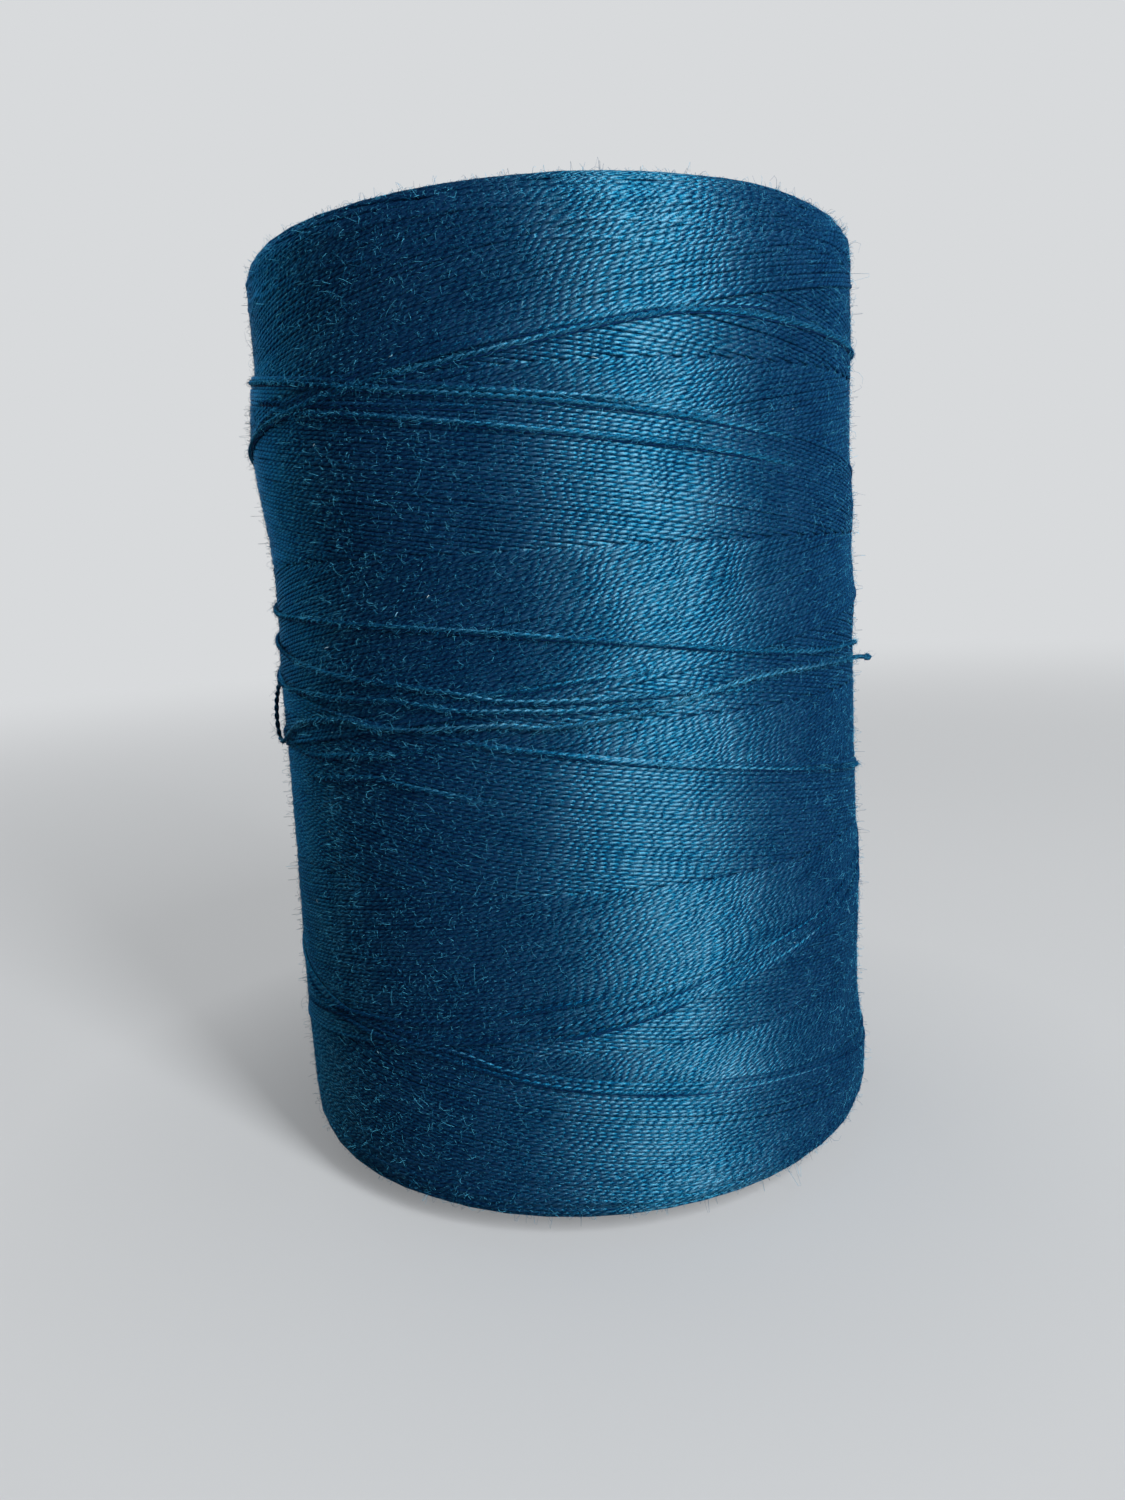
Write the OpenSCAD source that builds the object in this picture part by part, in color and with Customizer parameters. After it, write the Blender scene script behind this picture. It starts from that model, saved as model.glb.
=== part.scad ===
// Spool of sewing thread: a cross-wound package of two-ply thread on a moulded core.
// Millimetres, +Z up. The origin is the middle of the core's lower rim, on the surface it stands on.
// Azimuth 0 is the front, -Y, and grows towards +X.

/* [Wound package] */
// Height of the package between its end faces
pack_h = 82; // [75:1:95]
// Diameter of the package over its outer turns
pack_d = 56; // [52:0.5:60]
// Radius of the rounded shoulders
shoulder_r = 2.5; // [2:0.5:6]

/* [Core] */
// Outer diameter of the barrel that the thread is wound on
barrel_d = 24; // [22:0.5:28]
// Wall of the barrel
barrel_wall = 1.4; // [1:0.1:1.8]
// Height of the lower rim, which the spool stands on
foot_h = 1.5; // [1:0.5:3]
// Length of core that stands out of the package at the top
head_h = 3; // [3:0.5:6]
// Diameter of the rims at both ends of the barrel
rim_d = 27; // [25:0.5:30]
// Bore for the machine's spool pin or the stand's peg
bore_d = 9.6; // [8:0.1:10]
// Wall of the hub round the bore
hub_wall = 1.5; // [1.2:0.1:2]
// Number of ribs between hub and barrel
rib_count = 6; // [4:1:8]
// Thickness of a rib
rib_t = 1.2; // [1:0.1:1.6]

/* [Thread] */
// Diameter of the thread
thread_d = 0.4; // [0.3:0.02:0.4]
// Clear space between turns that cross, over 0.4
turn_gap = 0.45; // [0.42:0.01:0.46]

/* [Hidden] */
$fn = 96;
eps = 0.01;

// Core
core_h = foot_h + pack_h + head_h;
barrel_r = barrel_d / 2;
barrel_in_r = barrel_r - barrel_wall;
rim_r = rim_d / 2;
rim_t = 1.5;
rim_round = 0.5;
bore_r = bore_d / 2;
hub_r = bore_r + hub_wall;
hub_inset = 1;
rib_inset = 2.5;
web_t = 1.2;
lead_in = 0.6;
weld = 0.3;
groove_pitch = 4;
groove_depth = 0.3;
groove_w = 0.8;
groove_margin = 4;
slit_w = 0.5;
slit_depth = 2.6;
slit_azimuth = 35;

// Package: the drum is the wound thread under its outer turns
pack_mid = foot_h + pack_h / 2;
pack_r = pack_d / 2;
drum_inset = 1.5;
drum_r = pack_r - drum_inset;
straight_h = pack_h / 2 - shoulder_r;
bore_clearance = 0.02;

// Outer turns: one thread, laid up and down at two levels so that it never meets itself
loop_rings = 24;
loop_sides = 6;
step_angle = 360 / loop_rings;
turns_per_traverse = 3.125;
wind_steps = 557;
traverse_reach = pack_h / 2 + 0.2;
reverse_turn = 1 / 12;
turn_lead = 2 * traverse_reach / turns_per_traverse;
start_azimuth = 180;
level_low = thread_d / 2;
level_high = level_low + thread_d + turn_gap;
start_bend = 2 * thread_d;

// Loose end: azimuth, height over the package's middle, distance off the package's surface
tail_sides = 8;
tail_ring_gap = 1.28;
tail_lift = thread_d / 2 + 0.03;
tail_stations = [
  [-98, 5.4, 0], [-91, 4.7, 0], [-85, 3.9, 0], [-81.5, 3, 0.2], [-79, 1.9, 0.4],
  [-77.5, 0.7, 0.5], [-76.5, -0.5, 0.5], [-75, -1.5, 0.4], [-71.5, -1.7, 0.2], [-66, -0.7, 0],
  [-61, 0.2, 0], [-57, 0.8, 0], [-49, 1.4, 0], [-41, 1.6, 0], [-34, 1.1, 0],
  [-26, 1, 0], [-18, 1.2, 0], [-10, 1.3, 0], [-4, 1, 0], [4, 1.3, 0],
  [11, 1.7, 0], [16, 2.2, 0], [22, 2.8, 0], [29, 3.4, 0], [37, 3.7, 0],
  [46, 3.7, 0], [56, 3.6, 0], [65, 3.4, 0], [71, 3.2, 0.2], [77, 2.9, 0.7],
  [82, 2.6, 1.4]
];
swell = 1.6;
swell_rings = 2;

// Vectors

function unit(v) = v / norm(v);
function outward(az) = [sin(az), -cos(az), 0];
function along(az) = [cos(az), sin(az), 0];

// Point at an azimuth, a radius and a height
function at(az, r, z) = outward(az) * r + [0, 0, z];

// Radius and height of a point that lies a distance off the drum, where reach is the way
// along the drum's side from mid-height, up or down, and on round the shoulder
function off_drum(reach, off) =
  let (
    side = sign(reach),
    over = max(0, abs(reach) - straight_h),
    turn = over / shoulder_r * 180 / PI,
    flat = side * min(abs(reach), straight_h),
    arc = shoulder_r + off
  )
  [
    drum_r - shoulder_r + arc * cos(turn),
    pack_mid + flat + side * arc * sin(turn)
  ];

// The winding

// Turns since the last end of the package, and until the next one, whichever is less
function turns_to_end(turns) =
  let (phase = turns / turns_per_traverse - floor(turns / turns_per_traverse))
  min(phase, 1 - phase) * turns_per_traverse;

// Distance of the thread from the end of its traverse, rounded where it turns back
function below_end(to_end) =
  turn_lead * (to_end < reverse_turn
    ? (to_end * to_end + reverse_turn * reverse_turn) / (2 * reverse_turn)
    : to_end);

// Way along the drum's side after a number of turns: up, then down, and so on
function wind_reach(turns) =
  let (
    leg = floor(turns / turns_per_traverse),
    half = turns / turns_per_traverse - leg < 0.5 ? -1 : 1,
    rising = leg % 2 == 0 ? 1 : -1
  )
  half * rising * (traverse_reach - below_end(turns_to_end(turns)));

// Share of the upper level: 0 on the way up, 1 on the way down, changing where it turns back
function wind_level(turns) =
  let (
    leg = floor(turns / turns_per_traverse),
    past_half = turns / turns_per_traverse - leg >= 0.5,
    falling = leg % 2 == 0 ? 0 : 1,
    next = past_half ? 1 - falling : falling,
    here = min(1, turns_to_end(turns) / reverse_turn),
    blend = (1 - here) / 2
  )
  leg == 0 && !past_half ? 0
    : past_half ? falling * (1 - blend) + next * blend
    : falling * (1 - blend) + (1 - falling) * blend;

// Height off the drum at a ring: the chords between rings still clear the drum
function wind_off(turns) =
  let (chord_lift = drum_r * (1 / cos(step_angle / 2) - 1))
  chord_lift + level_low + (level_high - level_low) * wind_level(turns);

// Centre of the thread after a number of turns
function wind_point(turns) =
  let (p = off_drum(wind_reach(turns), wind_off(turns)))
  at(start_azimuth + 360 * turns, p[0], p[1]);

// The thread comes straight out of the drum and bends into its first turn
wind_start = off_drum(wind_reach(0), 0);
start_turn = (abs(wind_reach(0)) - straight_h) / shoulder_r * 180 / PI;
start_out = outward(start_azimuth) * cos(start_turn) - [0, 0, sin(start_turn)];
start_foot = at(start_azimuth, wind_start[0], wind_start[1]);
start_path = concat(
  [start_foot],
  [for (a = [0:30:90])
    start_foot + start_out * (thread_d + start_bend * sin(a))
      + along(start_azimuth) * start_bend * (1 - cos(a))]
);

// Where the outer turns stop and the loose end goes on
exit_turns = wind_steps / loop_rings;
exit_azimuth = start_azimuth + 360 * exit_turns;
exit_point = wind_point(exit_turns);
exit_dir = unit(along(exit_azimuth) * 2 * PI * norm([exit_point[0], exit_point[1]])
  - [0, 0, turn_lead]);

wind_path = concat(
  start_path,
  [for (i = [1:wind_steps - 1]) wind_point(i / loop_rings)],
  [exit_point - exit_dir * thread_d, exit_point]
);

// The loose end

function tail_station(s) = at(s[0], pack_r + tail_lift + s[2], pack_mid + s[1]);

// Catmull-Rom curve through four points, at a fraction between the middle two
function curve(a, b, c, d, t) =
  (2 * b + (c - a) * t + (2 * a - 5 * b + 4 * c - d) * t * t
    + (3 * b - a - 3 * c + d) * t * t * t) / 2;

tail_points = concat(
  [exit_point, exit_point + exit_dir * thread_d],
  [for (s = tail_stations) tail_station(s)]
);
tail_last = len(tail_points) - 1;

tail_path = [
  for (i = [0:tail_last])
    let (
      a = tail_points[max(0, i - 1)],
      b = tail_points[i],
      c = tail_points[min(tail_last, i + 1)],
      d = tail_points[min(tail_last, i + 2)],
      pieces = i == tail_last ? 1 : max(1, round(norm(c - b) / tail_ring_gap))
    )
    for (k = [0:pieces - 1]) curve(a, b, c, d, k / pieces)
];

// Swept tubes

// Direction of a path at a point, given at its start and end
function heading(path, i, first, last) =
  i == 0 ? first
    : i == len(path) - 1 ? last
    : unit(path[i + 1] - path[i - 1]);

// One ring of points round the path; side is what the ring's first corner points to
function ring(centre, dir, side, r, sides) =
  let (
    n = unit(side - dir * (side * dir)),
    b = cross(dir, n)
  )
  [for (k = [0:sides - 1])
    centre + r * (n * cos(360 * k / sides) + b * sin(360 * k / sides))];

// Triangles between two rings that follow each other
function band(i, sides) =
  [for (k = [0:sides - 1])
    let (a = i * sides + k, b = i * sides + (k + 1) % sides)
    each [[a, b, b + sides], [a, b + sides, a + sides]]];

// A closed tube along a path: sides_to gives the side direction, radii the radius, per ring
module tube(path, first, last, sides_to, radii, sides) {
  rings = len(path);
  foot = (rings - 1) * sides;
  polyhedron(
    points = [for (i = [0:rings - 1])
      each ring(path[i], heading(path, i, first, last), sides_to[i], radii[i], sides)],
    faces = concat(
      [for (k = [1:sides - 2]) [0, k + 1, k]],
      [for (i = [0:rings - 2]) each band(i, sides)],
      [for (k = [1:sides - 2]) [foot, foot + k, foot + k + 1]]
    ),
    convexity = 10
  );
}

// The core

// Outline of the barrel, its rims and the grooves that grip the first turns
function groove(z) = [
  [barrel_r, z - groove_w / 2],
  [barrel_r - groove_depth, z],
  [barrel_r, z + groove_w / 2]
];

module barrel() {
  first = foot_h + groove_margin;
  last = foot_h + pack_h - groove_margin;
  rotate_extrude()
    polygon(concat(
      [[barrel_in_r, 0], [rim_r - rim_round, 0], [rim_r, rim_round],
        [rim_r, rim_t], [barrel_r, rim_t]],
      [for (z = [first:groove_pitch:last]) each groove(z)],
      [[barrel_r, core_h - rim_t], [rim_r, core_h - rim_t],
        [rim_r, core_h - rim_round], [rim_r - rim_round, core_h], [barrel_in_r, core_h]]
    ));
}

module hub() {
  translate([0, 0, hub_inset])
    cylinder(r = hub_r, h = core_h - 2 * hub_inset);
}

module ribs() {
  for (i = [0:rib_count - 1])
    rotate([0, 0, 360 * i / rib_count])
      translate([hub_r - weld, -rib_t / 2, rib_inset])
        cube([barrel_in_r - hub_r + 2 * weld, rib_t, core_h - 2 * rib_inset]);
}

// Disc that joins hub and barrel at mid-height, where the two halves of the mould meet
module web() {
  translate([0, 0, core_h / 2 - web_t / 2])
    cylinder(r = barrel_in_r + weld, h = web_t);
}

module bore() {
  translate([0, 0, -eps])
    cylinder(r = bore_r, h = core_h + 2 * eps);
  for (end = [0, 1])
    translate([0, 0, end * core_h])
      mirror([0, 0, end])
        translate([0, 0, hub_inset - eps])
          cylinder(r1 = bore_r + lead_in, r2 = bore_r, h = lead_in);
}

// Slit in the upper rim that holds the thread's end when the spool is put away
module thread_slit() {
  rotate([0, 0, slit_azimuth])
    translate([-slit_w / 2, -rim_r - eps, core_h - slit_depth])
      cube([slit_w, rim_r - barrel_in_r + 2 * eps, slit_depth + eps]);
}

module core() {
  color("whitesmoke")
    difference() {
      union() {
        barrel();
        hub();
        ribs();
        web();
      }
      bore();
      thread_slit();
    }
}

// The thread

// Wound thread under the outer turns, with its rounded shoulders and its end faces
module wound_body() {
  color("steelblue")
    difference() {
      rotate_extrude()
        polygon(concat(
          [[0, foot_h]],
          [for (end = [-1, 1], a = [0:6:90])
            let (turn = end < 0 ? 90 - a : a)
            [
              drum_r - shoulder_r + shoulder_r * cos(turn),
              pack_mid + end * (straight_h + shoulder_r * sin(turn))
            ]],
          [[0, foot_h + pack_h]]
        ));
      translate([0, 0, foot_h - eps])
        cylinder(r = barrel_r + bore_clearance, h = pack_h + 2 * eps);
    }
}

// Last turns of the winding, one unbroken thread that goes up and down the package
module outer_turns() {
  rings = len(wind_path);
  color("teal")
    tube(
      wind_path, start_out, exit_dir,
      [for (i = [1:rings]) [0, 0, 1]],
      [for (i = [1:rings]) thread_d / 2],
      loop_sides
    );
}

// The thread's free end: out of the last turn, in a slack bend on the left, across the front
module thread_tail() {
  rings = len(tail_path);
  color("skyblue")
    tube(
      tail_path, exit_dir, unit(tail_path[rings - 1] - tail_path[rings - 2]),
      [for (p = tail_path) unit([p[0], p[1], 0])],
      [for (i = [1:rings]) thread_d / 2 * (i > rings - swell_rings ? swell : 1)],
      tail_sides
    );
}

// Least gap of the outer turns to themselves, on points along their chords

function chord_points(path, cuts) =
  [for (i = [0:len(path) - 2], k = [0:cuts - 1])
    path[i] + (path[i + 1] - path[i]) * k / cuts];

cuts = 4;
turn_points = chord_points([for (i = [0:wind_steps]) wind_point(i / loop_rings)], cuts);
column_step = loop_rings * cuts;
clearances = [
  for (i = [0:len(turn_points) - 1])
    for (j = [i + column_step - 1:column_step:len(turn_points) - 1])
      for (side = [0:2])
        if (j + side < len(turn_points))
          norm(turn_points[i] - turn_points[j + side]) - thread_d
];
echo(least_gap_of_outer_turns = min(clearances));
echo(outer_turn_count = exit_turns, exit_point = exit_point);

function path_length(path) = [for (i = [1:len(path) - 1]) norm(path[i] - path[i - 1])]
  * [for (i = [1:len(path) - 1]) 1];
echo(tail_length = path_length(tail_path), tail_rings = len(tail_path));

core();
wound_body();
outer_turns();
thread_tail();
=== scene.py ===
# %% [markdown]
# # A spool of sewing thread
#
# The object is a cross-wound package of two-ply spun thread on a moulded core. The core, the size
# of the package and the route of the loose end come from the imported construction. This script
# gives it what can be seen and touched: the single turns of thread, the twist of the thread, the
# slack turns where the end was pulled, the fuzz and the finishes. Lengths are in millimetres until
# a mesh is made, and azimuth 0 is the front, growing to the right.

# %% Load the construction
import math

import bpy
import numpy as np
from mathutils import Matrix, Vector


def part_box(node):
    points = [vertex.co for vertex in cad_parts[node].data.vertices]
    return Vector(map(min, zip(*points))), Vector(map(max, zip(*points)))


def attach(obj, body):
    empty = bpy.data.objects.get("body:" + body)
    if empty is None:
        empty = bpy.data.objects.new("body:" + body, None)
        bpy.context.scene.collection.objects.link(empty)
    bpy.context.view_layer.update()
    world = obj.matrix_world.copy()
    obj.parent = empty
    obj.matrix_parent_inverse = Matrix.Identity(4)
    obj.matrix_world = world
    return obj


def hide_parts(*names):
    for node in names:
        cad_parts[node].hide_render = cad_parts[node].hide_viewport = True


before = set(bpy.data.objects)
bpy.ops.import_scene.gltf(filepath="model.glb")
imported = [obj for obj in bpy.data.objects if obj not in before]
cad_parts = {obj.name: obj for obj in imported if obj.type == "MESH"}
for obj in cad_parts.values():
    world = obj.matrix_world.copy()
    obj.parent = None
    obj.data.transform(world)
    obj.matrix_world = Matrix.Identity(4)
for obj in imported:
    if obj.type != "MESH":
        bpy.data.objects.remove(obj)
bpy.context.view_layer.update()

MM = 0.001
scene = bpy.context.scene
scene.view_settings.view_transform = "Standard"

# %% [markdown]
# ## Sizes
#
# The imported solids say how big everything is. The package's solid is the drum of thread under the
# outer turns, so the package itself is 1.5 mm larger all round the side. Reading the sizes from
# the frame, and not writing them again, keeps the looks on the construction if it changes. Only
# four sizes that no box can tell are written here too, as the construction has them.

# %% Sizes from the frame
OUTER_TURNS_THICKNESS = 1.5
SHOULDER_RADIUS = 2.5
THREAD_WIDTH = 0.4
CORE_RADIUS = 12.0

drum_low, drum_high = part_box("wound_body")
package_low = drum_low.z / MM
package_high = drum_high.z / MM
package_radius = drum_high.x / MM + OUTER_TURNS_THICKNESS
middle = (package_low + package_high) / 2
side_half = (package_high - package_low) / 2 - SHOULDER_RADIUS
print(f"package {2 * package_radius:.1f} x {package_high - package_low:.1f} mm")

# %% [markdown]
# ## Camera
#
# The eye is 114 mm from the axis, a little above mid-height, and looks down 9.7 degrees. So near
# an eye makes the strong taper of a cylinder that is really straight. The camera comes first,
# because the loose end is measured against what it sees. Three angles or a constraint could aim
# it, but a roll is easiest to follow in the camera's own axes: its right, its up and the way back
# from what it looks at are the columns of its matrix.

# %% The camera
EYE = (-0.9, -113.6, middle + 13.9)
PITCH_DOWN = math.radians(9.73)
ROLL = math.radians(3.28)
LENS = 27.05
NEAREST_SEEN = 0.005


def make_camera():
    """A camera whose axes are the rolled right and up vectors and the way back from the object."""
    level_up = Vector((0, math.sin(PITCH_DOWN), math.cos(PITCH_DOWN)))
    back = Vector((0, -math.cos(PITCH_DOWN), math.sin(PITCH_DOWN)))
    right = math.cos(ROLL) * Vector((1, 0, 0)) - math.sin(ROLL) * level_up
    up = math.sin(ROLL) * Vector((1, 0, 0)) + math.cos(ROLL) * level_up
    data = bpy.data.cameras.new("camera")
    data.lens = LENS
    data.clip_start = NEAREST_SEEN
    camera = bpy.data.objects.new("camera", data)
    scene.collection.objects.link(camera)
    turn = Matrix((right, up, back)).transposed().to_4x4()
    camera.matrix_world = Matrix.Translation(Vector(EYE) * MM) @ turn
    scene.camera = camera


make_camera()
print(f"camera {-EYE[1]:.0f} mm in front of the axis and {EYE[2]:.1f} mm up, lens {LENS} mm")

# %% [markdown]
# ## The surface that everything lies on
#
# Turns, fuzz and lint all lie on one surface: a straight side, a rounded shoulder and a flat end
# face, turned round the axis. One function gives a point of it for an azimuth and a way along the
# outline, so a thread that runs up the side and over the shoulder is one smooth line.
#
# A wound package is never a true cylinder. From band to band it swells and narrows by a few tenths
# of a millimetre, some bands have slipped sideways, and the upper shoulder is crowned. A lattice
# could bend the finished meshes, but here it is part of the same function, so the thread
# underneath, the turns and the fuzz all follow it together. The slip fades to nothing at the core.

# %% Points of the package
def polar(azimuth, radius, height):
    """Points (r sin a, -r cos a, z) for azimuths in degrees, radii and heights."""
    a = np.radians(azimuth)
    return np.stack(np.broadcast_arrays(radius * np.sin(a), -radius * np.cos(a), height), axis=-1)


SWELLINGS = np.array([  # height over the package's middle, how far it swells there and slips right
    (-39, 0.3, 0.15), (-36, 0.5, 0.15), (-30, 0.22, -0.2), (-26, 0.22, -0.18), (-20, 0.28, 0),
    (-12, 0.1, 0), (-4, 0, 0), (5, 0, 0), (9, 0, 0.26), (13, -0.16, 0.16), (17, 0.06, 0.19),
    (20, 0.13, -0.12), (22, 0.2, -0.26), (25, 0.33, -0.34), (28, 0.28, -0.22), (30, 0.2, -0.05),
    (32, -0.07, 0.27), (39, -0.07, 0.27),
])
CROWN = 0.45
CROWN_FROM = 28
CROWN_LENGTH = 9


def skin(azimuth, reach, depth=0.0):
    """Points at a depth under the package's surface, and the directions straight out of it.

    reach is the way along the outline from mid-height, up if positive: first up the side, then
    round the shoulder by reach / radius radians, then straight in towards the core. Near the top
    the height then grows by the crown times the square of the way into it. Each point moves out in
    proportion to its radius by the swelling at its height, and right by the slip there times its
    share of the way from the core to the side.
    """
    way, end = np.abs(reach), np.sign(reach)
    turn = np.clip((way - side_half) / SHOULDER_RADIUS, 0, np.pi / 2)
    inward = np.maximum(0, way - side_half - SHOULDER_RADIUS * np.pi / 2)
    arm = SHOULDER_RADIUS - depth
    radius = package_radius - SHOULDER_RADIUS + arm * np.cos(turn) - inward
    height = end * (np.minimum(way, side_half) + arm * np.sin(turn))
    height = height + CROWN * np.clip((height - CROWN_FROM) / CROWN_LENGTH, 0, 1) ** 2
    heights, swellings, slips = SWELLINGS.T
    radius = radius * (1 + np.interp(height, heights, swellings) / package_radius)
    points = polar(azimuth, radius, height + middle)
    share = (radius - CORE_RADIUS) / (package_radius - CORE_RADIUS)
    points[..., 0] += np.interp(height, heights, slips) * share
    return points, polar(azimuth, np.cos(turn), end * np.sin(turn))


shoulder_end = side_half + SHOULDER_RADIUS * math.pi / 2
face_end = shoulder_end + package_radius - SHOULDER_RADIUS - CORE_RADIUS
print(f"outline: side to {side_half} mm, shoulder to {shoulder_end:.2f} mm, face to {face_end:.2f} mm")

# %% [markdown]
# ## From lines to meshes
#
# A thread, a ply and a hair are all tubes along a line, and there are thousands of them. One
# function sweeps a cross-section along all lines of a piece at once: the rings of every line are
# rows of one array, and a second array says which line a ring belongs to. A curve object with a
# bevel would make the same tubes, but not with a UV map in millimetres along the thread, which the
# twist of the thread needs. Each line also gets a random number, kept in the attribute "shade",
# from which its material makes it a little lighter or darker than its neighbours.

# %% Meshes from arrays
def unit(vectors):
    """Vectors divided by their own length."""
    return vectors / np.linalg.norm(vectors, axis=-1, keepdims=True)


def make_piece(name, points, faces, uv=None, shade=None):
    """A smooth mesh object from points in millimetres and lists of equal-sided face arrays."""
    mesh = bpy.data.meshes.new(name)
    sides = np.concatenate([np.full(len(f), f.shape[1]) for f in faces])
    corners = np.concatenate([f.ravel() for f in faces])
    mesh.vertices.add(len(points))
    mesh.vertices.foreach_set("co", (points * MM).astype(np.float32).ravel())
    mesh.loops.add(len(corners))
    mesh.loops.foreach_set("vertex_index", corners.astype(np.int32))
    mesh.polygons.add(len(sides))
    mesh.polygons.foreach_set("loop_start", (np.cumsum(sides) - sides).astype(np.int32))
    mesh.polygons.foreach_set("use_smooth", np.ones(len(sides), bool))
    if uv is not None:
        mesh.uv_layers.new(name="lay").data.foreach_set("uv", uv.astype(np.float32).ravel())
    if shade is not None:
        layer = mesh.attributes.new("shade", "FLOAT", "POINT")
        layer.data.foreach_set("value", shade.astype(np.float32))
    mesh.update(calc_edges=True)
    piece = bpy.data.objects.new(name, mesh)
    scene.collection.objects.link(piece)
    print(f"{name}: {int((sides - 2).sum())} triangles")
    return piece


# %% Tubes along lines
PATTERN_SPREAD = 50  # each line's pattern starts at random within this many millimetres


def line_frame(centre, out, line):
    """Tangent, outward and sideways directions at every ring, and the way along its own line.

    The tangent is the sum of the steps before and after a ring. Outward is what the direction given
    has across the tangent, and sideways is tangent x outward.
    """
    step = np.diff(centre, axis=0) * (line[1:] == line[:-1])[:, None]
    tangent = np.zeros_like(centre)
    tangent[:-1] += step
    tangent[1:] += step
    tangent = unit(tangent)
    out = unit(out - tangent * (out * tangent).sum(-1, keepdims=True))
    way = np.concatenate([[0], np.cumsum(np.linalg.norm(step, axis=1))])
    first = np.searchsorted(line, line, side="left")
    return tangent, out, np.cross(tangent, out), way - way[first]


def sweep(name, centre, out, line, half_width, half_depth, angles, rng, starts=None):
    """Closed tubes along many lines at once.

    Each ring is centre + out * half_depth * cos(angle) + side * half_width * sin(angle). Rings
    that follow each other on one line are joined by quads, and the ends are closed by one face.
    The UV map holds millimetres along the thread, from each line's start, and turns round it.
    """
    sides = len(angles)
    _, out, side, way = line_frame(centre, out, line)
    deep = np.broadcast_to(half_depth, len(centre))[:, None, None]
    wide = np.broadcast_to(half_width, len(centre))[:, None, None]
    points = centre[:, None] + out[:, None] * deep * np.cos(angles)[:, None]
    points = points + side[:, None] * wide * np.sin(angles)[:, None]

    joined = np.flatnonzero(line[1:] == line[:-1])
    here = np.arange(sides)
    after = (here + 1) % sides
    a, b = joined[:, None] * sides + here, joined[:, None] * sides + after
    quads = np.stack([a, b, b + sides, a + sides], axis=-1).reshape(-1, 4)
    firsts = np.flatnonzero(np.r_[True, line[1:] != line[:-1]])
    lasts = np.flatnonzero(np.r_[line[1:] != line[:-1], True])
    caps = np.concatenate([firsts[:, None] * sides + here[::-1], lasts[:, None] * sides + here])

    if starts is None:
        starts = rng.uniform(0, PATTERN_SPREAD, line.max() + 1)
    way = way + starts[line]
    round_at = np.append(angles, angles[0] + 2 * np.pi) / (2 * np.pi)
    at_ring, at_next = (np.repeat(way[ring][:, None], sides, axis=1) for ring in (joined, joined + 1))
    u = np.stack([at_ring, at_ring, at_next, at_next], axis=-1)
    v = np.stack([round_at[:-1], round_at[1:], round_at[1:], round_at[:-1]], axis=-1)
    quad_uv = np.stack([u, np.broadcast_to(v, u.shape)], axis=-1).reshape(-1, 2)
    cap_uv = np.stack([way[caps // sides], round_at[caps % sides]], axis=-1).reshape(-1, 2)
    shade = rng.uniform(-1, 1, line.max() + 1)[line]
    return make_piece(
        name, points.reshape(-1, 3), [quads, caps],
        np.concatenate([quad_uv, cap_uv]), np.repeat(shade, sides))


# %% Rings along lines, and easing
def share_rings(lengths, spacing, least):
    """For lines of these lengths: which line each ring is on, and its place on it from 0 to 1.

    A line has length / spacing rings, rounded up, and one more, but never fewer than the least.
    """
    count = np.maximum(least, np.ceil(lengths / spacing).astype(int) + 1)
    line = np.repeat(np.arange(len(lengths)), count)
    first = np.repeat(np.cumsum(count) - count, count)
    return line, (np.arange(count.sum()) - first) / (count[line] - 1)


def smoothstep(x):
    """0 below 0, 1 above 1, and 3x^2 - 2x^3 between."""
    x = np.clip(x, 0, 1)
    return x * x * (3 - 2 * x)


# %% [markdown]
# ## The loose end
#
# The thread's free end is the one cord of this object. It comes out of the last turn on the left,
# stands off in a slack bend, lies across the front and ends in a cut, swollen tip on the right.
# Its route repeats the construction's own points, with the same curve through them. A bevelled
# curve would make a smooth wire of it. But thread is two plies twisted round each other, and here
# the twist shows, so each ply is its own tube, wound round the centreline:
# centre + offset * (out * cos(t) + side * sin(t)), with t turning once in each length of lay.

# %% The loose end's route
EXIT_POINT = np.array([-26.832, 7.19, 48.543])
EXIT_DIRECTION = np.array([-0.2563, -0.9555, -0.1463])
TAIL_CLEARANCE = 0.03
TAIL_LIFT = THREAD_WIDTH / 2 + TAIL_CLEARANCE
CURVE_STEPS = 16  # fine steps between two stations, before the curve is cut evenly
TAIL_STATIONS = np.array([  # azimuth, height over the package's middle, distance off its surface
    (-98, 5.4, 0), (-91, 4.7, 0), (-85, 3.9, 0), (-81.5, 3, 0.2), (-79, 1.9, 0.4),
    (-77.5, 0.7, 0.5), (-76.5, -0.5, 0.5), (-75, -1.5, 0.4), (-71.5, -1.7, 0.2), (-66, -0.7, 0),
    (-61, 0.2, 0), (-57, 0.8, 0), (-49, 1.4, 0), (-41, 1.6, 0), (-34, 1.1, 0),
    (-26, 1, 0), (-18, 1.2, 0), (-10, 1.3, 0), (-4, 1, 0), (4, 1.3, 0),
    (11, 1.7, 0), (16, 2.2, 0), (22, 2.8, 0), (29, 3.4, 0), (37, 3.7, 0),
    (46, 3.7, 0), (56, 3.6, 0), (65, 3.4, 0), (71, 3.2, 0.2), (77, 2.9, 0.7),
    (82, 2.6, 1.4),
])


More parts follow.
